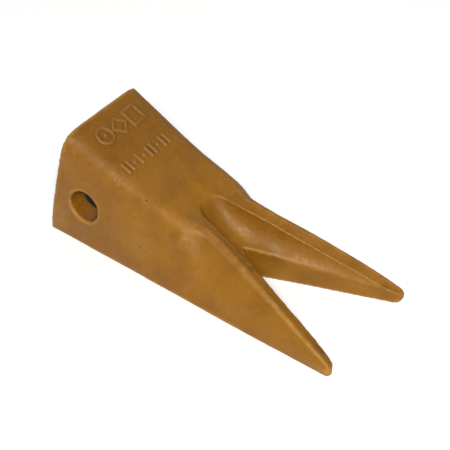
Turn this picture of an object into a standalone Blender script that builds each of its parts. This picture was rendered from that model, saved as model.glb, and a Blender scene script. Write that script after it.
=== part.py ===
"""Twin-prong excavator bucket tooth: a cast tip, its cross pin and the pin's retainer ring.

Lengths are in millimetres and measured from the rear bottom edge of the casting: X runs forward to the
tips, Y across, Z up from the flat underside. The parts are then placed so that the middle of the
underside is the world's origin, in metres.
"""
import math

import bmesh
import bpy

MM = 0.001

# ---- driving dimensions of the casting ----
LENGTH = 322.0            # rear bottom edge to the tips
REAR_LEAN = 20.7          # how far the top of the rear face stands ahead of its bottom edge
LEAN_REACH = 70.0         # the lean of the sections fades out over this length
TIP_RADIUS = 5.0          # rounding of the blunt tips
SIDE_BULGE = 2.1          # crown of the cast side walls
BOTTOM_EDGE = 2.0         # broken edge along the underside
CREST_TILT = 0.35         # inward slope of the strip on top of each prong
CREST_DROP = 4.0          # the slope levels out after this drop

# outlines along the length: (distance from the rear, value)
TOP_HEIGHT = ((0, 124.6), (90, 86.4), (140, 70.2), (190, 56.2), (230, 44.2), (280, 27.9), (322, 11.5))
TOP_HALF_WIDTH = ((0, 55.2), (60, 49.8), (95, 46.5), (142, 42.0), (168, 33.9), (190, 36.6), (230, 44.6),
                  (280, 54.5), (322, 62.0))
SHOULDER_RADIUS = ((0, 19.0), (95, 17.0), (140, 15.0), (190, 10.5), (230, 7.0), (280, 4.6), (322, 3.2))
BOTTOM_HALF_WIDTH = ((0, 58.0), (80, 58.9), (160, 60.4), (240, 61.7), (322, 61.7))

# groove between the prongs, cut from above, and the notch below it
GROOVE_HEAD = 138.5
GROOVE_HEAD_LENGTH = 17.0
GROOVE_HALF_WIDTH = ((138, 14.2), (150, 15.4), (165, 17.6), (185, 22.0), (215, 27.9), (250, 35.6),
                     (290, 44.9), (322, 53.0))
GROOVE_FLOOR = ((138, 71.0), (146, 57.5), (165, 41.5), (186, 31.0), (206, 26.5), (215, 23.2), (233, 18.0),
                (252, 12.6), (272, 7.4), (328, -6.0))
GROOVE_BOWL = 0.6         # share of the groove's height that rises as a parabola; the rest stands up steeply
CUTTER_END = 328.0        # the groove and notch cutters run past the tips
NOTCH_HEAD = 184.0
NOTCH_HEAD_LENGTH = 8.0
NOTCH_HALF_WIDTH = ((184, 0.6), (200, 6.8), (240, 22.6), (280, 37.7), (322, 53.6))
NOTCH_DRAFT = 0.05        # the notch's walls open upward by this much per unit of height
NOTCH_ROOF = 60.0         # the notch's cutter ends here, above the groove's floor

# pocket for the adapter's nose: (distance, half width, floor height, roof height, corner radius)
POCKET = ((-20.0, 42.6, 12.0, 112.0, 9.0), (0.0, 40.6, 13.5, 104.5, 9.0), (138.0, 26.6, 22.0, 48.5, 7.0),
          (143.0, 24.0, 24.5, 45.5, 5.0))

# ---- driving dimensions of the pin and its ring ----
PIN_X, PIN_Z = 43.8, 46.8
PIN_HOLE_RADIUS = 16.0
PIN_RADIUS, PIN_LENGTH, PIN_CHAMFER = 15.2, 104.0, 3.0
PIN_BACKED_OFF = 24.0     # at rest the pin stands this far out of its locked place
RING_OFFSET = -30.0       # middle of the ring's groove, from the middle of the pin
GROOVE_RADIUS, GROOVE_WIDTH = 13.2, 6.8
RING_INNER, RING_OUTER, RING_THICKNESS = 13.6, 20.0, 6.0
RING_SPLIT_DEGREES = 44.0


def curve_through(knots):
    """Return f(x), a smooth curve through the knots that doesn't overshoot between them."""
    xs = [k[0] for k in knots]
    ys = [k[1] for k in knots]
    slopes = [(ys[i + 1] - ys[i]) / (xs[i + 1] - xs[i]) for i in range(len(xs) - 1)]
    tangents = [slopes[0]]
    for before, after in zip(slopes, slopes[1:]):
        if before * after <= 0:
            tangents.append(0.0)
        else:
            tangents.append(2 * before * after / (before + after))
    tangents.append(slopes[-1])

    def value(x):
        if x <= xs[0]:
            return ys[0] + tangents[0] * (x - xs[0])
        if x >= xs[-1]:
            return ys[-1] + tangents[-1] * (x - xs[-1])
        i = max(k for k in range(len(xs) - 1) if xs[k] <= x)
        width = xs[i + 1] - xs[i]
        t = (x - xs[i]) / width
        start = (1 + 2 * t) * (1 - t) ** 2 * ys[i] + t * (1 - t) ** 2 * width * tangents[i]
        end = t * t * (3 - 2 * t) * ys[i + 1] + t * t * (t - 1) * width * tangents[i + 1]
        return start + end

    return value


top_height = curve_through(TOP_HEIGHT)
top_half_width = curve_through(TOP_HALF_WIDTH)
shoulder_radius = curve_through(SHOULDER_RADIUS)
bottom_half_width = curve_through(BOTTOM_HALF_WIDTH)
groove_half_width = curve_through(GROOVE_HALF_WIDTH)
groove_floor = curve_through(GROOVE_FLOOR)
notch_half_width = curve_through(NOTCH_HALF_WIDTH)


def round_start(x, start, length):
    """Ramp from 0 at start to 1 after length, shaped like a quarter ellipse."""
    left = min(1.0, max(0.0, (start + length - x) / length))
    return math.sqrt(1.0 - left * left)


def tip_inset(x):
    """How far every face of the tips has curved inward at x."""
    past = max(0.0, x - (LENGTH - TIP_RADIUS))
    return TIP_RADIUS - math.sqrt(max(0.0, TIP_RADIUS ** 2 - past ** 2))


def edge_share(x):
    """Share of an edge's rounding that is left at x, as the tip closes."""
    return 1.0 - 0.9 * tip_inset(x) / TIP_RADIUS


def crest_tilt(x):
    """Inward slope of the top strip, which starts where the groove does."""
    return CREST_TILT * min(1.0, max(0.0, (x - 120.0) / 60.0))


def shoulder(x, foot_y):
    """Return the fillet of the upper edge at x: start, end, centre, radius and the side's direction."""
    height = top_height(x) - tip_inset(x)
    corner = top_half_width(x) - tip_inset(x)
    run = math.hypot(foot_y - corner, height)
    side = ((foot_y - corner) / run, -height / run)
    half_angle = math.acos(-side[0]) / 2
    radius = shoulder_radius(x) * edge_share(x)
    reach = radius / math.tan(half_angle)
    start = (corner - reach, height)
    end = (corner + side[0] * reach, height + side[1] * reach)
    return start, end, (start[0], height - radius), radius, side


def crest_drop(x, inward):
    """Drop of the top surface at x, this far inward of the shoulder's fillet."""
    return min(CREST_DROP, crest_tilt(x) * max(0.0, inward)) * edge_share(x)


def top_surface(x, y):
    """Height of the top strip at (x, y), inside the shoulder's fillet."""
    start = shoulder(x, bottom_half_width(x))[0]
    return start[1] - crest_drop(x, start[0] - y)


def half_section(x_top, x_foot):
    """Half outline of the body, from the middle of the top over the shoulder to the underside."""
    foot_y = bottom_half_width(x_foot) - tip_inset(x_foot)
    foot_z = tip_inset(x_foot)
    edge = BOTTOM_EDGE * edge_share(x_foot)
    start, end, centre, radius, side = shoulder(x_top, foot_y)
    outline = []
    for share in (0.0, 0.35, 0.7):
        y = start[0] * share
        outline.append((y, start[1] - crest_drop(x_top, start[0] - y)))
    last_angle = math.atan2(end[1] - centre[1], end[0] - centre[0])
    for step in range(6):
        angle = math.pi / 2 + (last_angle - math.pi / 2) * step / 5
        outline.append((centre[0] + radius * math.cos(angle), centre[1] + radius * math.sin(angle)))
    for step in range(1, 6):
        share = step / 6
        crown = 4 * SIDE_BULGE * share * (1 - share) * edge_share(x_foot)
        y = end[0] + (foot_y - end[0]) * share - side[1] * crown
        z = end[1] + (foot_z + edge - end[1]) * share + side[0] * crown
        outline.append((y, z))
    outline.append((foot_y, foot_z + edge))
    outline.append((foot_y - edge, foot_z))
    outline.append((foot_y * 0.5, foot_z))
    outline.append((0.0, foot_z))
    return outline


def mirrored(half):
    """Closed outline made of a half outline and its mirror image across y = 0."""
    return half + [(-y, z) for y, z in reversed(half[1:-1])]


def paint(name, colour, roughness, metallic):
    """Principled material with one colour."""
    material = bpy.data.materials.new(name)
    material.use_nodes = True
    shader = material.node_tree.nodes["Principled BSDF"]
    shader.inputs["Base Color"].default_value = (*colour, 1.0)
    shader.inputs["Roughness"].default_value = roughness
    shader.inputs["Metallic"].default_value = metallic
    material.diffuse_color = (*colour, 1.0)
    return material


def add_object(name, verts, faces, location=(0.0, 0.0, 0.0), material=None, smooth_degrees=None):
    """Make a closed mesh object from points in millimetres; its faces are turned outward."""
    mesh = bpy.data.meshes.new(name)
    mesh.from_pydata([(x * MM, y * MM, z * MM) for x, y, z in verts], [], faces)
    work = bmesh.new()
    work.from_mesh(mesh)
    bmesh.ops.recalc_face_normals(work, faces=work.faces)
    work.to_mesh(mesh)
    work.free()
    item = bpy.data.objects.new(name, mesh)
    item.location = [value * MM for value in location]
    bpy.context.scene.collection.objects.link(item)
    if material:
        mesh.materials.append(material)
    if smooth_degrees:
        mesh.shade_smooth()
        mesh.set_sharp_from_angle(angle=math.radians(smooth_degrees))
    return item


def loft(rings):
    """Vertices and faces of a closed skin over rings of equal point count, with flat end caps."""
    count = len(rings[0])
    verts = [point for ring in rings for point in ring]
    faces = []
    for row in range(len(rings) - 1):
        for k in range(count):
            following = (k + 1) % count
            low, high = row * count, (row + 1) * count
            faces.append((low + k, low + following, high + following, high + k))
    faces.append(tuple(range(count)))
    faces.append(tuple((len(rings) - 1) * count + k for k in reversed(range(count))))
    return verts, faces


def stations(first, last, step):
    """Evenly spaced distances from first to last, about step apart."""
    count = max(1, round((last - first) / step))
    return [first + (last - first) * k / count for k in range(count + 1)]


def body_rings():
    """Sections of the outer body; the first ones lean with the rear face."""
    rings = []
    tip_start = LENGTH - TIP_RADIUS
    rounding = [tip_start + TIP_RADIUS * math.sin(math.radians(angle)) for angle in (25, 50, 72, 86)]
    for foot_x in stations(0.0, tip_start, 8.5) + rounding:
        lean = REAR_LEAN * max(0.0, 1.0 - foot_x / LEAN_REACH)
        outline = mirrored(half_section(foot_x + lean, foot_x))
        height = top_height(foot_x + lean)
        rings.append([(foot_x + lean * z / height, y, z) for y, z in outline])
    return rings


def groove_rings():
    """Sections of the upper groove: steep at the crests, flaring to the floor."""
    rings = []
    head = stations(GROOVE_HEAD + 0.6, GROOVE_HEAD + GROOVE_HEAD_LENGTH, 3.0)
    for x in head + stations(160.0, CUTTER_END, 8.0):
        on_tip = min(x, LENGTH)
        opening = round_start(x, GROOVE_HEAD, GROOVE_HEAD_LENGTH)
        half_width = groove_half_width(x) * opening + tip_inset(on_tip)
        crest = top_surface(on_tip, half_width)
        floor = min(groove_floor(x), crest - 0.5)
        half = [(half_width + 6.0, crest + 26.0)]
        for step in range(8):
            share = math.sqrt(1.0 - step / 7)
            rise = GROOVE_BOWL * share ** 2 + (1 - GROOVE_BOWL) * share ** 8
            half.append((half_width * share, floor + (crest - floor) * rise))
        rings.append([(x, y, z) for y, z in half + [(-y, z) for y, z in reversed(half[:-1])]])
    return rings


def notch_rings():
    """Sections of the notch that goes through between the prongs."""
    rings = []
    head = stations(NOTCH_HEAD + 0.4, NOTCH_HEAD + NOTCH_HEAD_LENGTH, 2.0)
    for x in head + stations(200.0, CUTTER_END, 8.0):
        opening = round_start(x, NOTCH_HEAD, NOTCH_HEAD_LENGTH)
        foot = notch_half_width(x) + tip_inset(min(x, LENGTH))
        half = [(max(0.25, (foot + NOTCH_DRAFT * z) * opening), z) for z in (NOTCH_ROOF, -6.0)]
        rings.append([(x, y, z) for y, z in half + [(-y, z) for y, z in reversed(half)]])
    return rings


def pocket_rings():
    """Rounded rectangles that taper from the mouth to the blunt end of the pocket."""
    rings = []
    for x, half_width, floor, roof, radius in POCKET:
        ring = []
        corners = ((1, roof - radius, 0), (-1, roof - radius, 90),
                   (-1, floor + radius, 180), (1, floor + radius, 270))
        for side, centre_z, first in corners:
            for step in range(5):
                angle = math.radians(first + 22.5 * step)
                y = side * (half_width - radius) + radius * math.cos(angle)
                ring.append((x, y, centre_z + radius * math.sin(angle)))
        rings.append(ring)
    return rings


def turned_rings(profile, segments):
    """Rings about the Y axis for a turned shape; the profile is a list of (radius, y)."""
    turn = 2 * math.pi / segments
    return [[(radius * math.sin(turn * k), y, radius * math.cos(turn * k)) for k in range(segments)]
            for radius, y in profile]


def cutter(name, rings, location=(0.0, 0.0, 0.0)):
    """A wire-display solid that only cuts."""
    item = add_object(name, *loft(rings), location=location)
    item.hide_render = True
    item.display_type = "WIRE"
    return item


def cut(item, tool):
    """Subtract a cutter from an object with an exact Boolean."""
    modifier = item.modifiers.new(tool.name, "BOOLEAN")
    modifier.operation = "DIFFERENCE"
    modifier.solver = "EXACT"
    modifier.object = tool


def build_tip(material, centre):
    """The cast tip: lofted body less groove, notch, pocket and pin hole."""
    tip = add_object("tooth_tip", *loft(body_rings()), location=centre, material=material, smooth_degrees=32)
    cut(tip, cutter("groove_cutter", groove_rings(), centre))
    cut(tip, cutter("notch_cutter", notch_rings(), centre))
    cut(tip, cutter("pocket_cutter", pocket_rings(), centre))
    bore = turned_rings([(PIN_HOLE_RADIUS, -80.0), (PIN_HOLE_RADIUS, 80.0)], 48)
    cut(tip, cutter("pin_bore_cutter", bore, (centre[0] + PIN_X, 0.0, PIN_Z)))
    return tip


def build_pin(material, centre):
    """The cross pin, with chamfered ends and the ring's groove; its origin is its middle."""
    half = PIN_LENGTH / 2
    groove_low = RING_OFFSET - GROOVE_WIDTH / 2
    groove_high = RING_OFFSET + GROOVE_WIDTH / 2
    profile = [(PIN_RADIUS - PIN_CHAMFER, -half), (PIN_RADIUS, -half + PIN_CHAMFER), (PIN_RADIUS, groove_low),
               (GROOVE_RADIUS, groove_low), (GROOVE_RADIUS, groove_high), (PIN_RADIUS, groove_high),
               (PIN_RADIUS, half - PIN_CHAMFER), (PIN_RADIUS - PIN_CHAMFER, half)]
    location = (centre[0] + PIN_X, PIN_BACKED_OFF, PIN_Z)
    return add_object("retaining_pin", *loft(turned_rings(profile, 48)), location, material, 30)


def build_ring(material, centre):
    """The split retainer ring, hanging with its split on top; its origin is on the pin's axis."""
    middle = (RING_INNER + RING_OUTER) / 2
    wide = (RING_OUTER - RING_INNER) / 2
    deep = RING_THICKNESS / 2
    edge = 1.0
    section = [(wide, deep - edge), (wide - edge, deep), (edge - wide, deep), (-wide, deep - edge),
               (-wide, edge - deep), (edge - wide, -deep), (wide - edge, -deep), (wide, edge - deep)]
    rings = []
    for angle in stations(RING_SPLIT_DEGREES / 2, 360.0 - RING_SPLIT_DEGREES / 2, 7.5):
        turn = math.radians(angle)
        rings.append([((middle + out) * math.sin(turn), y, (middle + out) * math.cos(turn))
                      for out, y in section])
    location = (centre[0] + PIN_X, PIN_BACKED_OFF + RING_OFFSET, PIN_Z)
    return add_object("retainer_ring", *loft(rings), location, material, 30)


def build():
    """Clear the scene and make the three parts."""
    for item in list(bpy.data.objects):
        bpy.data.objects.remove(item)
    centre = (-LENGTH / 2, 0.0, 0.0)
    build_tip(paint("ochre_paint", (0.33, 0.15, 0.035), 0.45, 0.0), centre)
    build_pin(paint("pin_steel", (0.42, 0.41, 0.40), 0.35, 1.0), centre)
    build_ring(paint("spring_steel", (0.10, 0.10, 0.11), 0.45, 1.0), centre)


build()
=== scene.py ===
"""Looks of the twin-prong bucket tooth: a painted steel casting with its cross pin and retainer ring.

Shapes are worked out in millimetres from the rear bottom edge of the casting, as in the CAD model: X runs
forward to the tips, Y across, Z up from the flat underside. place() puts them in the shared frame.
"""
import math

import bmesh
import bpy
import numpy as np
from mathutils import Matrix, Vector, kdtree, noise


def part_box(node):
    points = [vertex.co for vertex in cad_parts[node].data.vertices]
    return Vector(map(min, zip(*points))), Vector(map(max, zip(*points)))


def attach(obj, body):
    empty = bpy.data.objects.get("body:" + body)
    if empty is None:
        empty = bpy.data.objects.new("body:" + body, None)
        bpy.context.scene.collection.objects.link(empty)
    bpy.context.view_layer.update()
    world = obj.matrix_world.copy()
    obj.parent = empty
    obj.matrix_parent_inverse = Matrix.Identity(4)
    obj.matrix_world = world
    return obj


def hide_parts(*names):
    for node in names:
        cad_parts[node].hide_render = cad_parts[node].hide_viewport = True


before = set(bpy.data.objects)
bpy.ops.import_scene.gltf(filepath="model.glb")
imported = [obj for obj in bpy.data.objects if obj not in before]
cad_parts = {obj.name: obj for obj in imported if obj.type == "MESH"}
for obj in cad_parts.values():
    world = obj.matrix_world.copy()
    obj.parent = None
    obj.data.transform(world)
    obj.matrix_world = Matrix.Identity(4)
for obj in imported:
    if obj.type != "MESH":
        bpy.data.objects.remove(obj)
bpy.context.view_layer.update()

MM = 0.001
TIP_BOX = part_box("tooth_tip")
PIN_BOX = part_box("retaining_pin")
REAR = TIP_BOX[0].x / MM      # the rear bottom edge of the casting in the frame
LENGTH = (TIP_BOX[1].x - TIP_BOX[0].x) / MM

# ---- casting: the CAD model's dimensions, with tighter upper edges towards the tips ----
REAR_LEAN = 20.7          # how far the top of the rear face stands ahead of its bottom edge
LEAN_REACH = 70.0         # the lean of the sections fades out over this length
TIP_RADIUS = 5.0
SIDE_BULGE = 2.1          # crown of the cast side walls
BOTTOM_EDGE = 2.0         # broken edge along the underside
CREST_TILT = 0.35         # inward slope of the strip on top of each prong
CREST_DROP = 4.0          # the slope levels out after this drop

# outlines along the length: (distance from the rear, value)
TOP_HEIGHT = ((0, 124.6), (90, 86.4), (140, 70.2), (190, 56.2), (230, 44.2), (280, 27.9), (322, 11.5))
TOP_HALF_WIDTH = ((0, 55.2), (60, 49.8), (95, 46.5), (142, 42.0), (168, 33.9), (190, 36.6), (230, 44.6),
                  (280, 54.5), (322, 62.0))
SHOULDER_RADIUS = ((0, 19.0), (95, 16.0), (140, 12.0), (165, 9.5), (190, 8.5), (230, 6.0), (280, 3.6),
                   (322, 2.4))
BOTTOM_HALF_WIDTH = ((0, 58.0), (80, 58.9), (160, 60.4), (240, 61.7), (322, 61.7))

# the groove between the prongs, the notch below it, the pocket and the side hole
GROOVE_HEAD = 138.5
GROOVE_HEAD_LENGTH = 17.0
GROOVE_HALF_WIDTH = ((138, 14.2), (150, 15.4), (165, 17.6), (185, 22.0), (215, 27.9), (250, 35.6),
                     (290, 44.9), (322, 53.0))
GROOVE_FLOOR = ((138, 71.0), (146, 57.5), (165, 41.5), (186, 31.0), (206, 26.5), (215, 23.2), (233, 18.0),
                (252, 12.6), (272, 7.4), (328, -6.0))
GROOVE_BOWL = 0.6         # share of the groove's height that rises as a parabola; the rest stands up steeply
NOTCH_HEAD = 184.0
NOTCH_HEAD_LENGTH = 8.0
NOTCH_HALF_WIDTH = ((184, 0.6), (200, 6.8), (240, 22.6), (280, 37.7), (322, 53.6))
NOTCH_DRAFT = 0.05
NOTCH_ROOF = 60.0
CUTTER_END = 328.0        # the groove and notch cutters run past the tips
# pocket sections: distance, half width, floor height, roof height, corner radius
POCKET = ((-20.0, 42.6, 12.0, 112.0, 9.0), (0.0, 40.6, 13.5, 104.5, 9.0), (138.0, 26.6, 22.0, 48.5, 7.0),
          (143.0, 24.0, 24.5, 45.5, 5.0))
PIN_HOLE_RADIUS = 16.0
BORE_REACH, BORE_SEGMENTS = 80.0, 96
PIN_X = (PIN_BOX[0].x + PIN_BOX[1].x) / 2 / MM - REAR
PIN_Y = (PIN_BOX[0].y + PIN_BOX[1].y) / 2 / MM
PIN_Z = (PIN_BOX[0].z + PIN_BOX[1].z) / 2 / MM

# ---- surface of the casting ----
VOXEL = 1.1               # grid of the remeshed surface
FINE_REACH = 2.6          # the crests and marks are divided once more within this distance
MOST_TRIANGLES = 188000   # the flat areas are thinned out until the casting has this many
SKIN_LAYERS = ((24.0, 0.24, 1), (8.0, 0.15, 2), (3.2, 0.09, 3))    # size, height and seed of the lumps
BASE_FADE = 1.5           # the lumps fade out over this height, so that the underside stays flat
FLASH_REACH = 1.6         # the flash is this wide to each side of a crest
FLASH_START = (150.0, 175.0)
BURR_HEIGHT = 1.3         # drops of metal left on the crests where the casting is thin
BURR_START = (230.0, 260.0)
GRIME_BAND = (0.5, 6.5)   # dirt pressed into the near prong's upper edge, this far from its crest
GRIME_REACH = (185.0, 320.0)
HIP_RIDGE = ((150.0, 46.0, 52.0), (170.0, 50.0, 32.0))    # swelling on each side where the prongs start
HIP_HEIGHT, HIP_REACH = 2.5, 9.5

# raised foundry marks on the upper face: a row of three outlines, and a row of bars and dots
MARK_HEIGHT, MARK_STROKE, MARK_FLANK = 1.1, 1.4, 1.1
MARK_ABOVE, MARK_FACING = 60.0, 0.7                       # the marks are only on faces this high and level
MARK_ROW, MARK_HALF = 42.0, 8.0
RING_MARK_Y, DIAMOND_HALF, SQUARE_SIDES = -20.0, 8.5, (13.0, 28.0)
TALLY_ROW, TALLY_LENGTH = 76.0, 9.0
TALLY = ((-32.0, 1), (-26.0, 1), (-19.5, 0), (-13.0, 1), (-6.5, 0), (0.0, 1), (6.5, 1), (13.0, 0), (19.5, 1),
         (25.5, 1))                                       # y, and 1 for a bar or 0 for a dot

RELIEF_PASSES = 10        # the surface is compared with itself after this much blurring

# ---- pin and ring: the CAD model's dimensions ----
PIN_RADIUS, PIN_LENGTH, PIN_CHAMFER, PIN_SEGMENTS = 15.2, 104.0, 3.0, 144
RING_OFFSET = -30.0       # middle of the ring's groove, from the middle of the pin
GROOVE_RADIUS, GROOVE_WIDTH = 13.2, 6.8
RING_INNER, RING_OUTER, RING_THICKNESS = 13.6, 20.0, 6.0
RING_SPLIT_DEGREES = 44.0
RING_CORNER, RING_END_EASE, RING_END_SHRINK = 1.2, 0.9, 0.8     # rounding of the ring's edges and ends

# ---- paint and oxide colours, some of them also painted shade and painted highlight ----
PAINT_DARK, PAINT_LIGHT = (0.165, 0.063, 0.0025), (0.212, 0.087, 0.0042)
PAINT_WARM, PAINT_PALE, PAINT_DEEP = (0.205, 0.072, 0.0020), (0.290, 0.140, 0.0160), (0.105, 0.040, 0.0022)
# painted shade: the upward faces towards the rear are darker and more saturated
PAINT_REAR_TOP_SHADE = (0.120, 0.042, 0.0012)
# rubbed paint on worn edges, which also paints a highlight along the crests; dirt, which also paints shade in
# the hollows
PAINT_RUBBED_AND_HIGHLIGHT, DIRT_AND_SHADE = (0.36, 0.18, 0.040), (0.060, 0.028, 0.0050)
# dark oxide, also used as painted shade inside the pocket and on the pin's end faces
SPECK, OXIDE_AND_SHADE = (0.022, 0.012, 0.006), (0.010, 0.007, 0.005)

# ---- camera ----
CAMERA_AZIMUTH, CAMERA_ELEVATION, CAMERA_ROLL = 36.68, 41.03, 0.39
CAMERA_DISTANCE = 1.3249
CAMERA_LENS = 114.3
SENSOR = 36.0
CAMERA_TARGET = Vector((-0.0100, 0.0173, 0.030))

# ---- studio ----
FLOOR_SIZE, FLOOR_DROP = 12.0, 0.0004
WORLD_STRENGTH = 0.22
# each light's name, azimuth, elevation, distance, size and power
LIGHTS = (("key", 38.0, 44.0, 4.0, 1.1, 232.0), ("fill", -145.0, 35.0, 4.0, 2.5, 38.0))


def curve_through(knots):
    """Return f(x) for numbers or arrays: a smooth curve through the knots with no overshoot between them."""
    xs = np.array([k[0] for k in knots], float)
    ys = np.array([k[1] for k in knots], float)
    widths = np.diff(xs)
    slopes = np.diff(ys) / widths
    before, after = slopes[:-1], slopes[1:]
    total = np.where(before + after == 0, 1.0, before + after)
    inner = np.where(before * after > 0, 2 * before * after / total, 0.0)
    tangents = np.concatenate([slopes[:1], inner, slopes[-1:]])

    def value(x):
        x = np.asarray(x, float)
        i = np.clip(np.searchsorted(xs, x, side="right") - 1, 0, len(widths) - 1)
        t = np.clip((x - xs[i]) / widths[i], 0.0, 1.0)
        start = (1 + 2 * t) * (1 - t) ** 2 * ys[i] + t * (1 - t) ** 2 * widths[i] * tangents[i]
        end = t * t * (3 - 2 * t) * ys[i + 1] + t * t * (t - 1) * widths[i] * tangents[i + 1]
        before_first = np.minimum(0.0, x - xs[0]) * tangents[0]
        past_last = np.maximum(0.0, x - xs[-1]) * tangents[-1]
        return start + end + before_first + past_last

    return value


top_height = curve_through(TOP_HEIGHT)
top_half_width = curve_through(TOP_HALF_WIDTH)
shoulder_radius = curve_through(SHOULDER_RADIUS)
bottom_half_width = curve_through(BOTTOM_HALF_WIDTH)
groove_half_width = curve_through(GROOVE_HALF_WIDTH)
groove_floor = curve_through(GROOVE_FLOOR)
notch_half_width = curve_through(NOTCH_HALF_WIDTH)


def round_start(x, start, length):
    """Ramp from 0 at start to 1 after length, shaped like a quarter ellipse."""
    left = np.clip((start + length - x) / length, 0.0, 1.0)
    return np.sqrt(1.0 - left * left)


def tip_inset(x):
    """How far every face of the tips has curved inward at x."""
    past = np.clip(x - (LENGTH - TIP_RADIUS), 0.0, TIP_RADIUS)
    return TIP_RADIUS - np.sqrt(TIP_RADIUS ** 2 - past ** 2)


def edge_share(x):
    """Share of an edge's rounding that is left at x, as the tip closes."""
    return 1.0 - 0.9 * tip_inset(x) / TIP_RADIUS


def crest_tilt(x):
    """Inward slope of the top strip, which grows from just behind the groove to the prongs."""
    return CREST_TILT * np.clip((x - 120.0) / 60.0, 0.0, 1.0)


def shoulder(x, foot_y):
    """Return the fillet of the upper edge at x: start, end, centre, radius and the side's direction."""
    height = top_height(x) - tip_inset(x)
    corner = top_half_width(x) - tip_inset(x)
    run = np.hypot(foot_y - corner, height)
    side = ((foot_y - corner) / run, -height / run)
    half_angle = np.arccos(-side[0]) / 2
    radius = shoulder_radius(x) * edge_share(x)
    reach = radius / np.tan(half_angle)
    start = (corner - reach, height)
    end = (corner + side[0] * reach, height + side[1] * reach)
    return start, end, (start[0], height - radius), radius, side


def crest_drop(x, inward):
    """Drop of the top surface at x, this far inward of the shoulder's fillet."""
    return np.minimum(CREST_DROP, crest_tilt(x) * np.maximum(0.0, inward)) * edge_share(x)


def top_surface(x, y):
    """Height of the top strip at (x, y), inside the shoulder's fillet."""
    start = shoulder(x, bottom_half_width(x))[0]
    return start[1] - crest_drop(x, start[0] - y)


def half_section(x_top, x_foot):
    """Half outline of the body, from the middle of the top over the shoulder to the underside."""
    foot_y = bottom_half_width(x_foot) - tip_inset(x_foot)
    foot_z = tip_inset(x_foot)
    edge = BOTTOM_EDGE * edge_share(x_foot)
    start, end, centre, radius, side = shoulder(x_top, foot_y)
    outline = []
    for share in np.linspace(0.0, 1.0, 12, endpoint=False):
        y = start[0] * share
        outline.append((y, start[1] - crest_drop(x_top, start[0] - y)))
    last_angle = math.atan2(end[1] - centre[1], end[0] - centre[0])
    for angle in np.linspace(math.pi / 2, last_angle, 14):
        outline.append((centre[0] + radius * math.cos(angle), centre[1] + radius * math.sin(angle)))
    for share in np.linspace(0.0, 1.0, 16)[1:-1]:
        crown = 4 * SIDE_BULGE * share * (1 - share) * edge_share(x_foot)
        y = end[0] + (foot_y - end[0]) * share - side[1] * crown
        z = end[1] + (foot_z + edge - end[1]) * share + side[0] * crown
        outline.append((y, z))
    for angle in np.linspace(0.0, -math.pi / 2, 4):
        outline.append((foot_y - edge + edge * math.cos(angle), foot_z + edge + edge * math.sin(angle)))
    for share in (0.8, 0.6, 0.4, 0.2, 0.0):
        outline.append((foot_y * share, foot_z))
    return outline


def mirrored(half):
    """Closed outline made of a half outline and its mirror image across y = 0."""
    return half + [(-y, z) for y, z in reversed(half[1:-1])]


def steps(first, last, step):
    """Evenly spaced distances from first to last, about step apart."""
    return np.linspace(first, last, max(1, round((last - first) / step)) + 1)


def body_rings():
    """Sections of the outer body; the first ones lean with the rear face."""
    rings = []
    tip_start = LENGTH - TIP_RADIUS
    rounding = [tip_start + TIP_RADIUS * math.sin(math.radians(angle))
                for angle in (15, 30, 45, 58, 70, 80, 86)]
    for foot_x in list(steps(0.0, tip_start, 3.0)) + rounding:
        lean = REAR_LEAN * max(0.0, 1.0 - foot_x / LEAN_REACH)
        outline = mirrored(half_section(foot_x + lean, foot_x))
        height = top_height(foot_x + lean)
        rings.append([(foot_x + lean * z / height, y, z) for y, z in outline])
    return rings


def groove_rings():
    """Sections of the upper groove: a bowl that stands up steeply at the crests."""
    rings = []
    head_end = GROOVE_HEAD + GROOVE_HEAD_LENGTH
    for x in list(steps(GROOVE_HEAD + 0.3, head_end, 1.2)) + list(steps(head_end + 3.0, CUTTER_END, 3.0)):
        on_tip = min(x, LENGTH)
        opening = round_start(x, GROOVE_HEAD, GROOVE_HEAD_LENGTH)
        half_width = groove_half_width(x) * opening + tip_inset(on_tip)
        crest = top_surface(on_tip, half_width)
        floor = min(groove_floor(x), crest - 0.5)
        half = [(half_width + 6.0, crest + 26.0)]
        for share in np.sqrt(np.linspace(1.0, 0.0, 18)):
            rise = GROOVE_BOWL * share ** 2 + (1 - GROOVE_BOWL) * share ** 8
            half.append((half_width * share, floor + (crest - floor) * rise))
        rings.append([(x, y, z) for y, z in half + [(-y, z) for y, z in reversed(half[:-1])]])
    return rings


def notch_rings():
    """Sections of the notch that goes through between the prongs."""
    rings = []
    head_end = NOTCH_HEAD + NOTCH_HEAD_LENGTH
    for x in list(steps(NOTCH_HEAD + 0.2, head_end, 0.8)) + list(steps(head_end + 3.0, CUTTER_END, 3.0)):
        opening = round_start(x, NOTCH_HEAD, NOTCH_HEAD_LENGTH)
        on_tip = min(x, LENGTH)
        foot = notch_half_width(x) + tip_inset(on_tip)
        half = [(max(0.25, (foot + NOTCH_DRAFT * z) * opening), z)
                for z in (NOTCH_ROOF, NOTCH_ROOF / 2, -6.0)]
        rings.append([(x, y, z) for y, z in half + [(-y, z) for y, z in reversed(half)]])
    return rings


def pocket_rings():
    """Rounded rectangles that taper from the mouth to the blunt end of the pocket."""
    rings = []
    for x, half_width, floor, roof, radius in POCKET:
        ring = []
        corners = ((1, roof - radius, 0), (-1, roof - radius, 90),
                   (-1, floor + radius, 180), (1, floor + radius, 270))
        for side, centre_z, first in corners:
            for angle in np.radians(np.linspace(first, first + 90, 9)):
                y = side * (half_width - radius) + radius * math.cos(angle)
                ring.append((x, y, centre_z + radius * math.sin(angle)))
        rings.append(ring)
    return rings


def turned_rings(profile, segments):
    """Rings about the Y axis for a turned shape; the profile is a list of (radius, y)."""
    angles = np.linspace(0.0, 2 * math.pi, segments, endpoint=False)
    return [[(radius * math.sin(a), y, radius * math.cos(a)) for a in angles] for radius, y in profile]


def place(point):
    """A point measured from the casting's rear bottom edge, in the shared frame."""
    return Vector(((point[0] + REAR) * MM, point[1] * MM, point[2] * MM))


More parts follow.
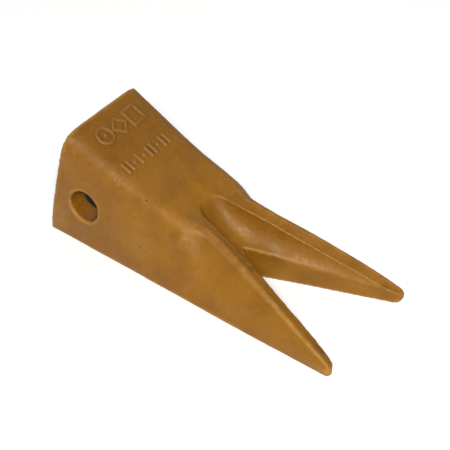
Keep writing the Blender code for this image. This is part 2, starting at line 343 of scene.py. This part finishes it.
def loft(name, rings, shift=(0.0, 0.0, 0.0)):
    """A closed skin over rings of equal point count, with flat end caps, as an object in the frame."""
    count = len(rings[0])
    verts = [place(np.add(point, shift)) for ring in rings for point in ring]
    faces = []
    for row in range(len(rings) - 1):
        low, high = row * count, (row + 1) * count
        for k in range(count):
            following = (k + 1) % count
            faces.append((low + k, low + following, high + following, high + k))
    faces.append(tuple(range(count)))
    faces.append(tuple((len(rings) - 1) * count + k for k in reversed(range(count))))
    mesh = bpy.data.meshes.new(name)
    mesh.from_pydata(verts, [], faces)
    work = bmesh.new()
    work.from_mesh(mesh)
    bmesh.ops.recalc_face_normals(work, faces=work.faces)
    work.to_mesh(mesh)
    work.free()
    item = bpy.data.objects.new(name, mesh)
    bpy.context.scene.collection.objects.link(item)
    return item


def apply_modifiers(item):
    """Replace an object's mesh by its evaluated mesh."""
    graph = bpy.context.evaluated_depsgraph_get()
    mesh = bpy.data.meshes.new_from_object(item.evaluated_get(graph))
    item.modifiers.clear()
    item.data = mesh


def subtract(item, tools):
    """Cut the tools out of an object, and remove them."""
    for tool in tools:
        modifier = item.modifiers.new(tool.name, "BOOLEAN")
        modifier.operation = "DIFFERENCE"
        modifier.solver = "EXACT"
        modifier.object = tool
    apply_modifiers(item)
    for tool in tools:
        bpy.data.objects.remove(tool)


def points_of(mesh):
    """The mesh's points in millimetres from the rear bottom edge, as an array."""
    flat = np.zeros(len(mesh.vertices) * 3)
    mesh.vertices.foreach_get("co", flat)
    return flat.reshape(-1, 3) / MM - (REAR, 0.0, 0.0)


def normals_of(mesh):
    """The mesh's vertex normals, as an array."""
    flat = np.zeros(len(mesh.vertices) * 3)
    mesh.vertices.foreach_get("normal", flat)
    return flat.reshape(-1, 3)


def set_points(mesh, points):
    """Move the mesh's points to these places, in millimetres from the rear bottom edge."""
    mesh.vertices.foreach_set("co", ((points + (REAR, 0.0, 0.0)) * MM).ravel())
    mesh.update()


def store(mesh, name, values):
    """Keep one number for each point of the mesh, for its material."""
    mesh.attributes.new(name, "FLOAT", "POINT").data.foreach_set("value", np.asarray(values, np.float32))


def lumps(points, size, seed):
    """Smooth noise from -1 to 1 with lumps about this many millimetres across."""
    shift = Vector((seed * 17.3, seed * 5.1, seed * 9.7))
    return np.array([noise.noise(Vector(p) / size + shift) for p in points.tolist()])


def smoothed(value, low, high):
    """0 below low, 1 above high, with a smooth ramp between."""
    t = np.clip((value - low) / (high - low), 0.0, 1.0)
    return t * t * (3 - 2 * t)


def crest_distance(points):
    """Distance of each point from the nearest inner crest edge."""
    x = np.clip(points[:, 0], GROOVE_HEAD, LENGTH)
    half = groove_half_width(x) * round_start(x, GROOVE_HEAD, GROOVE_HEAD_LENGTH)
    height = top_surface(x, half)
    across = np.abs(points[:, 1]) - half
    return np.sqrt(across ** 2 + (points[:, 2] - height) ** 2 + (points[:, 0] - x) ** 2)


def segment_distance(points, start, end):
    """Distance of each point from a straight segment."""
    start, along = np.array(start, float), np.subtract(end, start)
    share = np.clip(((points - start) @ along) / (along @ along), 0.0, 1.0)
    return np.linalg.norm(points - start - share[:, None] * along, axis=1)


def outline_distance(flat, corners):
    """Distance of each flat point from a closed outline of straight segments."""
    pairs = zip(corners, corners[1:] + corners[:1])
    return np.min([segment_distance(flat, a, b) for a, b in pairs], axis=0)


def mark_distance(points):
    """Distance from the middle lines of the raised foundry marks, seen from above."""
    flat = points[:, :2]
    low, high = MARK_ROW - MARK_HALF, MARK_ROW + MARK_HALF
    dot = np.hypot(flat[:, 0] - MARK_ROW, flat[:, 1] - RING_MARK_Y)
    ring = np.abs(dot - MARK_HALF)
    diamond = outline_distance(flat, [(low, 0.0), (MARK_ROW, DIAMOND_HALF), (high, 0.0),
                                      (MARK_ROW, -DIAMOND_HALF)])
    near, far = SQUARE_SIDES
    square = outline_distance(flat, [(low, near), (low, far), (high, far), (high, near)])
    nearest = np.minimum.reduce([ring, dot, diamond, square])
    for y, is_bar in TALLY:
        reach = TALLY_LENGTH / 2 * is_bar
        bar = segment_distance(flat, (TALLY_ROW - reach - 0.01, y), (TALLY_ROW + reach, y))
        nearest = np.minimum(nearest, bar)
    return nearest


def divide_fine_areas(mesh):
    """Halve the edges along the crests and the foundry marks, and even out the points a little."""
    points, normals = points_of(mesh), normals_of(mesh)
    on_upper_face = (normals[:, 2] > MARK_FACING) & (points[:, 2] > MARK_ABOVE)
    fine = (crest_distance(points) < FINE_REACH) | ((mark_distance(points) < FINE_REACH) & on_upper_face)
    work = bmesh.new()
    work.from_mesh(mesh)
    work.verts.ensure_lookup_table()
    edges = [e for e in work.edges if fine[e.verts[0].index] and fine[e.verts[1].index]]
    bmesh.ops.subdivide_edges(work, edges=edges, cuts=1, use_grid_fill=True)
    bmesh.ops.smooth_vert(work, verts=work.verts, factor=0.3,
                          use_axis_x=True, use_axis_y=True, use_axis_z=True)
    work.to_mesh(mesh)
    work.free()


def blurred(mesh, values, passes):
    """Average each point's values with its neighbours', this many times."""
    ends = np.zeros(len(mesh.edges) * 2, np.int32)
    mesh.edges.foreach_get("vertices", ends)
    first, second = ends.reshape(-1, 2).T
    count = len(mesh.vertices)
    total = np.bincount(first, minlength=count) + np.bincount(second, minlength=count)
    columns = [np.array(column, float) for column in np.atleast_2d(values.T)]
    for _ in range(passes):
        for k, column in enumerate(columns):
            gathered = np.bincount(first, column[second], count) + np.bincount(second, column[first], count)
            columns[k] = (column + gathered) / (total + 1)
    return np.array(columns).T


def pocket_share(points):
    """1 inside the pocket's walls and 0 on the outside of the casting."""
    far = np.array([row[0] for row in POCKET], float)
    half_width, floor, roof = (np.interp(points[:, 0], far, [row[k] for row in POCKET]) for k in (1, 2, 3))
    outside = np.maximum.reduce([np.abs(points[:, 1]) - half_width, floor - points[:, 2], points[:, 2] - roof,
                                 points[:, 0] - far[-1]])
    mouth = REAR_LEAN * points[:, 2] / top_height(REAR_LEAN)
    return (1.0 - smoothed(outside, 0.6, 2.2)) * smoothed(points[:, 0] - mouth, 1.0, 5.0)


def cast_skin(points, normals):
    """How far the casting's skin stands out of the CAD shape at each point."""
    skin = sum(height * lumps(points, size, seed) for size, height, seed in SKIN_LAYERS)
    on_base = 1.0 - smoothed(points[:, 2], 0.0, BASE_FADE)
    from_crest = (crest_distance(points) / FLASH_REACH) ** 2
    flash = np.exp(-from_crest) * (0.35 + 0.5 * lumps(points, 6.0, 4) + 0.25 * lumps(points, 2.4, 5))
    flash *= smoothed(points[:, 0], *FLASH_START)
    burrs = smoothed(lumps(points, 9.0, 7), 0.35, 0.6) * smoothed(points[:, 0], *BURR_START)
    flash += BURR_HEIGHT * burrs * np.exp(-from_crest)
    sided = np.abs(points * (0.0, 1.0, 0.0)) + points * (1.0, 0.0, 1.0)
    hip = HIP_HEIGHT * np.exp(-(segment_distance(sided, *HIP_RIDGE) / HIP_REACH) ** 2)
    hip *= smoothed(np.abs(normals[:, 1]), 0.3, 0.7) * smoothed(np.abs(points[:, 1]), 36.0, 42.0)
    mark = MARK_HEIGHT * smoothed(MARK_STROKE + MARK_FLANK / 2 - mark_distance(points), 0.0, MARK_FLANK)
    mark *= smoothed(normals[:, 2], 0.6, 0.8) * smoothed(points[:, 2], MARK_ABOVE, MARK_ABOVE + 6.0)
    return skin * (1 - on_base) + flash + hip + mark * (0.85 + 0.3 * lumps(points, 9.0, 6))


def pressed_grime(points, normals):
    """Patches of dirt in a band beside the near prong's crest."""
    edge = crest_distance(points)
    near, far = GRIME_BAND
    band = smoothed(edge, near, near + 1.0) * (1.0 - smoothed(edge, far - 2.5, far))
    start, end = GRIME_REACH
    along = smoothed(points[:, 0], start, start + 10.0) * (1.0 - smoothed(points[:, 0], end - 15.0, end))
    patches = smoothed(lumps(points, 6.0, 8), 0.1, 0.35)
    return band * along * patches * smoothed(normals[:, 2], 0.1, 0.5) * (points[:, 1] < 0)


def thin_out(item, kept):
    """Thin the flat areas of a mesh, and give its new points the kept values of the nearest old ones."""
    old = points_of(item.data)
    triangles = sum(len(face.vertices) - 2 for face in item.data.polygons)
    thin = item.modifiers.new("thin", "DECIMATE")
    thin.ratio = min(1.0, MOST_TRIANGLES / triangles)
    apply_modifiers(item)
    tree = kdtree.KDTree(len(old))
    for index, point in enumerate(old.tolist()):
        tree.insert(point, index)
    tree.balance()
    nearest = [tree.find(point)[1] for point in points_of(item.data).tolist()]
    for name, values in kept.items():
        store(item.data, name, values[nearest])


def build_casting():
    """The cast tip: the CAD shape with rounded cast edges, a sand-cast skin, raised marks and flash."""
    item = loft("tooth_casting", body_rings())
    bore = turned_rings([(PIN_HOLE_RADIUS, -BORE_REACH), (PIN_HOLE_RADIUS, BORE_REACH)], BORE_SEGMENTS)
    subtract(item, [loft("groove_tool", groove_rings()), loft("notch_tool", notch_rings()),
                    loft("pocket_tool", pocket_rings()), loft("bore_tool", bore, (PIN_X, 0.0, PIN_Z))])
    remesh = item.modifiers.new("skin", "REMESH")
    remesh.mode = "VOXEL"
    remesh.voxel_size = VOXEL * MM
    smooth = item.modifiers.new("soften", "SMOOTH")
    smooth.factor = 0.5
    smooth.iterations = 1
    apply_modifiers(item)
    mesh = item.data
    divide_fine_areas(mesh)
    points, normals = points_of(mesh), normals_of(mesh)
    set_points(mesh, points + normals * cast_skin(points, normals)[:, None])
    moved = points_of(mesh)
    relief = np.sum((moved - blurred(mesh, moved, RELIEF_PASSES)) * normals, axis=1)
    to_rear = 1.0 - smoothed(points[:, 0], 30.0, 120.0)
    # worn convex edges, partly a painted highlight along the crests
    kept = {"edge_wear_and_highlight": blurred(mesh, smoothed(relief, 0.05, 0.42), 1)[:, 0],
            # painted shade: darker in the hollows
            "cavity_shade": blurred(mesh, smoothed(-relief, 0.06, 0.45), 2)[:, 0],
            "pocket": pocket_share(points),
            "grime": pressed_grime(points, normals),
            # painted shade on the upward faces towards the rear
            "rear_top_shade": smoothed(normals[:, 2], 0.3, 0.9) * to_rear}
    thin_out(item, kept)
    item.data.shade_smooth()
    return item


class Graph:
    """A material's node tree, with short ways to add and join nodes."""

    def __init__(self, name):
        self.material = bpy.data.materials.new(name)
        self.material.use_nodes = True
        self.tree = self.material.node_tree
        self.shader = self.tree.nodes["Principled BSDF"]

    def add(self, kind, inputs=(), **settings):
        """Add a node; inputs is a list of (socket, value or output to link)."""
        made = self.tree.nodes.new("ShaderNode" + kind)
        for name, value in settings.items():
            setattr(made, name, value)
        for socket, value in inputs:
            if isinstance(value, bpy.types.NodeSocket):
                self.tree.links.new(value, made.inputs[socket])
            else:
                made.inputs[socket].default_value = value
        return made

    def place_on(self, scale=(1.0, 1.0, 1.0), shift=(0.0, 0.0, 0.0)):
        """Coordinates that ride with the piece, in metres from a point and then scaled."""
        here = self.add("TexCoord").outputs["Object"]
        moved = self.add("VectorMath", [(0, here), (1, shift)], operation="SUBTRACT").outputs[0]
        return self.add("VectorMath", [(0, moved), (1, scale)], operation="MULTIPLY").outputs[0]

    def noise(self, vector, scale, detail=3.0, roughness=0.5):
        """Fractal noise, about 0.5 on average, with this many lumps to the metre."""
        inputs = [("Vector", vector), ("Scale", scale), ("Detail", detail), ("Roughness", roughness)]
        return self.add("TexNoise", inputs).outputs["Fac"]

    def ramp(self, value, low, high, start=0.0, end=1.0):
        """Carry the range low..high smoothly over to start..end."""
        inputs = [("Value", value), ("From Min", low), ("From Max", high), ("To Min", start), ("To Max", end)]
        return self.add("MapRange", inputs, interpolation_type="SMOOTHSTEP").outputs["Result"]

    def times(self, first, second):
        """The product of two values."""
        return self.add("Math", [(0, first), (1, second)], operation="MULTIPLY").outputs[0]

    def plus(self, first, second):
        """The sum of two values."""
        return self.add("Math", [(0, first), (1, second)], operation="ADD").outputs[0]

    def mix(self, share, first, second):
        """Blend from the first colour to the second."""
        made = self.add("Mix", data_type="RGBA")
        for socket, value in ((made.inputs[0], share), (made.inputs[6], first), (made.inputs[7], second)):
            if isinstance(value, bpy.types.NodeSocket):
                self.tree.links.new(value, socket)
            elif isinstance(value, tuple):
                socket.default_value = value + (1.0,)
            else:
                socket.default_value = value
        return made.outputs[2]

    def kept(self, name):
        """A number that the mesh keeps for each of its points."""
        return self.add("Attribute", attribute_name=name).outputs["Fac"]

    def finish(self, colour, roughness, height, bump_strength, bump_depth):
        """Join the colour, roughness and bump to the shader."""
        bump = self.add("Bump", [("Strength", bump_strength), ("Distance", bump_depth), ("Height", height)])
        self.tree.links.new(colour, self.shader.inputs["Base Color"])
        self.tree.links.new(roughness, self.shader.inputs["Roughness"])
        self.tree.links.new(bump.outputs["Normal"], self.shader.inputs["Normal"])
        return self.material


def steel_paint():
    """Ochre paint on a cast skin: cloudy, speckled, worn thin on the edges with a painted highlight, painted
    shade in the hollows.
    """
    graph = Graph("ochre_paint_worn")
    here = graph.place_on()
    cloud = graph.ramp(graph.noise(here, 26.0), 0.36, 0.66)
    blotch = graph.noise(here, 95.0, 4.0, 0.6)
    grain = graph.noise(here, 620.0, 3.0, 0.65)
    colour = graph.mix(cloud, PAINT_DARK, PAINT_LIGHT)
    colour = graph.mix(graph.ramp(blotch, 0.45, 0.68, 0.0, 0.55), colour, PAINT_WARM)
    # painted shade: upward faces grow darker towards the rear
    colour = graph.mix(graph.times(graph.kept("rear_top_shade"), 0.55), colour, PAINT_REAR_TOP_SHADE)
    colour = graph.mix(graph.ramp(grain, 0.52, 0.72, 0.0, 0.30), colour, PAINT_PALE)
    colour = graph.mix(graph.ramp(grain, 0.46, 0.30, 0.0, 0.38), colour, PAINT_DEEP)
    # rubbed paint on the convex edges, which also paints a highlight along the crests
    rubbed_and_highlight = graph.times(graph.kept("edge_wear_and_highlight"), graph.ramp(blotch, 0.30, 0.62, 0.25, 1.0))
    colour = graph.mix(graph.times(rubbed_and_highlight, 0.55), colour, PAINT_RUBBED_AND_HIGHLIGHT)
    pressed = graph.times(graph.kept("grime"), graph.ramp(grain, 0.42, 0.58))
    # painted shade in the hollows, joined with the dirt pressed in beside the near crest
    shade_and_dirt = graph.times(graph.kept("cavity_shade"), graph.ramp(blotch, 0.30, 0.60, 0.55, 1.0))
    shade_and_dirt = graph.plus(shade_and_dirt, pressed)
    colour = graph.mix(graph.times(shade_and_dirt, 0.80), colour, DIRT_AND_SHADE)
    cells = graph.add("TexVoronoi", [("Vector", here), ("Scale", 60.0)])
    small = graph.ramp(cells.outputs["Distance"], 0.075, 0.045)
    chosen = graph.ramp(graph.noise(here, 33.0, 1.0), 0.55, 0.60)
    speck = graph.times(small, chosen)
    colour = graph.mix(graph.ramp(speck, 0.1, 0.9, 0.0, 0.85), colour, SPECK)
    # painted shade inside the pocket, in the dark oxide colour
    inside = graph.kept("pocket")
    colour = graph.mix(graph.times(inside, graph.ramp(blotch, 0.2, 0.5, 0.90, 0.99)), colour, OXIDE_AND_SHADE)
    roughness = graph.plus(graph.ramp(blotch, 0.35, 0.65, 0.44, 0.60), graph.times(inside, 0.25))
    height = graph.plus(graph.times(blotch, 0.8), graph.times(grain, 0.35))
    graph.shader.inputs["Specular IOR Level"].default_value = 0.37
    graph.shader.inputs["Specular Tint"].default_value = (1.0, 0.84, 0.60, 1.0)
    return graph.finish(colour, roughness, height, 0.6, 0.0008)


def turned_steel():
    """Turned pin steel: fine tool lines about the axis, dull patches and a little brown oxide."""
    graph = Graph("pin_turned_steel")
    centre = tuple(place((PIN_X, PIN_Y, PIN_Z)))
    across = graph.place_on((1.0, 0.0, 1.0), centre)
    radius = graph.add("VectorMath", [(0, across)], operation="LENGTH").outputs["Value"]
    along = graph.add("SeparateXYZ", [(0, graph.place_on((0.0, 1.0, 0.0), centre))]).outputs["Y"]
    turned = graph.add("CombineXYZ", [("X", radius), ("Y", along)]).outputs[0]
    lines = graph.noise(turned, 2600.0, 3.0, 0.7)
    here = graph.place_on()
    patches = graph.noise(here, 70.0, 4.0, 0.6)
    spots = graph.noise(here, 420.0, 3.0, 0.6)
    colour = graph.mix(graph.ramp(lines, 0.35, 0.65), (0.15, 0.145, 0.14), (0.28, 0.27, 0.26))
    colour = graph.mix(graph.ramp(patches, 0.50, 0.70, 0.0, 0.55), colour, (0.16, 0.13, 0.11))
    colour = graph.mix(graph.ramp(spots, 0.58, 0.70, 0.0, 0.60), colour, (0.13, 0.065, 0.03))
    # painted shade: the pin's end faces take the dark oxide colour
    away = graph.add("Math", [(0, along)], operation="ABSOLUTE").outputs[0]
    chamfer_start = PIN_LENGTH / 2 - PIN_CHAMFER
    end_faces = graph.ramp(away, (chamfer_start - 0.4) * MM, chamfer_start * MM)
    colour = graph.mix(graph.times(end_faces, 0.9), colour, OXIDE_AND_SHADE)
    roughness = graph.plus(graph.ramp(patches, 0.35, 0.65, 0.28, 0.46),
                           graph.ramp(lines, 0.3, 0.7, 0.0, 0.10))
    roughness = graph.plus(roughness, graph.times(end_faces, 0.25))
    graph.shader.inputs["Metallic"].default_value = 1.0
    return graph.finish(colour, roughness, lines, 0.35, 0.00012)


def spring_steel():
    """Hardened spring steel with a dark scale that has worn off in spots."""
    graph = Graph("ring_spring_steel")
    here = graph.place_on()
    scale_patches = graph.noise(here, 160.0, 4.0, 0.6)
    grain = graph.noise(here, 900.0, 3.0, 0.6)
    colour = graph.mix(graph.ramp(scale_patches, 0.38, 0.62), (0.030, 0.030, 0.032), (0.075, 0.070, 0.066))
    colour = graph.mix(graph.ramp(grain, 0.58, 0.72, 0.0, 0.7), colour, (0.22, 0.20, 0.18))
    colour = graph.mix(graph.ramp(scale_patches, 0.62, 0.75, 0.0, 0.6), colour, (0.12, 0.055, 0.028))
    roughness = graph.ramp(scale_patches, 0.35, 0.65, 0.36, 0.58)
    graph.shader.inputs["Metallic"].default_value = 0.85
    return graph.finish(colour, roughness, grain, 0.35, 0.0002)


def pin_profile():
    """Half outline of the pin: centre marks, rounded chamfers and the ring's groove with filleted corners."""
    half = PIN_LENGTH / 2
    end = [(0.6, -half + 4.6), (2.0, -half + 1.9), (3.4, -half + 0.5), (4.0, -half), (8.0, -half)]
    end += [(PIN_RADIUS - PIN_CHAMFER - 0.5, -half), (PIN_RADIUS - PIN_CHAMFER - 0.1, -half + 0.15)]
    end += [(PIN_RADIUS - 0.2, -half + PIN_CHAMFER - 0.1), (PIN_RADIUS, -half + PIN_CHAMFER + 0.5)]
    reach = GROOVE_WIDTH / 2
    low, high = RING_OFFSET - reach, RING_OFFSET + reach
    groove = [(PIN_RADIUS, low - 0.5), (PIN_RADIUS - 0.35, low)]
    groove += [(GROOVE_RADIUS + 0.7, low), (GROOVE_RADIUS + 0.2, low + 0.2), (GROOVE_RADIUS, low + 0.7)]
    groove += [(radius, 2 * RING_OFFSET - y) for radius, y in reversed(groove)]
    shaft = [(PIN_RADIUS, y) for y in np.linspace(high + 6.0, half - 10.0, 8)]
    return end + groove + shaft + [(radius, -y) for radius, y in reversed(end)]


def build_pin():
    """The turned cross pin."""
    item = loft("cross_pin", turned_rings(pin_profile(), PIN_SEGMENTS), (PIN_X, PIN_Y, PIN_Z))
    item.data.shade_smooth()
    return item


def build_ring():
    """The split retainer ring: a rounded flat bar bent round, with eased ends."""
    middle, half_height = (RING_INNER + RING_OUTER) / 2, (RING_OUTER - RING_INNER) / 2
    half_width = RING_THICKNESS / 2
    first = math.radians(RING_SPLIT_DEGREES / 2)
    last = 2 * math.pi - first
    ease = RING_END_EASE / middle
    angles = [first, first + ease * 0.35, first + ease] + list(np.linspace(first + 0.09, last - 0.09, 88))
    angles += [last - ease, last - ease * 0.35, last]
    rings = []
    for turn in angles:
        at_end = min(turn - first, last - turn) / ease
        shrink = RING_END_SHRINK * (1.0 - math.sqrt(1.0 - (1.0 - min(1.0, at_end)) ** 2))
        section = []
        for sy, sz, start in ((1, 1, 0), (-1, 1, 90), (-1, -1, 180), (1, -1, 270)):
            for angle in np.radians(np.linspace(start, start + 90, 6)):
                out = sz * (half_height - RING_CORNER) + (RING_CORNER - shrink) * math.sin(angle)
                y = sy * (half_width - RING_CORNER) + (RING_CORNER - shrink) * math.cos(angle)
                section.append((middle + out, y))
        rings.append([(radius * math.sin(turn), y, radius * math.cos(turn)) for radius, y in section])
    item = loft("split_ring", rings, (PIN_X, PIN_Y + RING_OFFSET, PIN_Z))
    item.data.shade_smooth()
    return item


def direction(azimuth, elevation):
    """Unit vector from the object towards a viewpoint; azimuth 0 is in front, at -Y."""
    a, e = math.radians(azimuth), math.radians(elevation)
    return Vector((math.sin(a) * math.cos(e), -math.cos(a) * math.cos(e), math.sin(e)))


def add_area(name, azimuth, elevation, distance, size, power, aim):
    """A square soft light that faces a point from an azimuth and elevation round it."""
    data = bpy.data.lights.new(name, "AREA")
    data.size = size
    data.energy = power
    lamp = bpy.data.objects.new(name, data)
    bpy.context.scene.collection.objects.link(lamp)
    back = direction(azimuth, elevation)
    lamp.location = aim + back * distance
    lamp.rotation_euler = back.to_track_quat("Z", "Y").to_euler()


def build_camera():
    """The camera at the reference viewing angle."""
    data = bpy.data.cameras.new("camera")
    data.lens = CAMERA_LENS
    data.sensor_width = SENSOR
    data.clip_start = 0.05
    camera = bpy.data.objects.new("camera", data)
    bpy.context.scene.collection.objects.link(camera)
    back = direction(CAMERA_AZIMUTH, CAMERA_ELEVATION)
    right = Vector((0.0, 0.0, 1.0)).cross(back).normalized()
    up = back.cross(right)
    roll = math.radians(CAMERA_ROLL)
    turned_right = right * math.cos(roll) + up * math.sin(roll)
    turned_up = up * math.cos(roll) - right * math.sin(roll)
    turn = Matrix((turned_right, turned_up, back)).transposed().to_4x4()
    camera.matrix_world = Matrix.Translation(CAMERA_TARGET + back * CAMERA_DISTANCE) @ turn
    bpy.context.scene.camera = camera


def build_studio():
    """A plain pale floor, an even pale surround and soft lights."""
    bpy.ops.mesh.primitive_plane_add(size=FLOOR_SIZE, location=(0.0, 0.0, -FLOOR_DROP))
    floor = bpy.context.object
    floor.name = "studio_floor"
    material = bpy.data.materials.new("pale_floor")
    material.use_nodes = True
    shader = material.node_tree.nodes["Principled BSDF"]
    shader.inputs["Base Color"].default_value = (0.86, 0.86, 0.85, 1.0)
    shader.inputs["Roughness"].default_value = 0.8
    shader.inputs["Specular IOR Level"].default_value = 0.2
    floor.data.materials.append(material)
    world = bpy.data.worlds.new("studio")
    bpy.context.scene.world = world
    world.use_nodes = True
    surround = world.node_tree.nodes["Background"]
    surround.inputs["Color"].default_value = (1.0, 1.0, 1.0, 1.0)
    surround.inputs["Strength"].default_value = WORLD_STRENGTH
    for light in LIGHTS:
        add_area(*light, CAMERA_TARGET)
    bpy.context.scene.view_settings.view_transform = "Standard"


build_camera()
build_studio()
for piece, finish, body, node, slot in (
        (build_casting(), steel_paint(), "tip", "tooth_tip", "ochre_paint"),
        (build_pin(), turned_steel(), "pin", "retaining_pin", "pin_steel"),
        (build_ring(), spring_steel(), "ring", "retainer_ring", "spring_steel")):
    piece.data.materials.clear()
    piece.data.materials.append(finish)
    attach(piece, body)
    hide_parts(node)
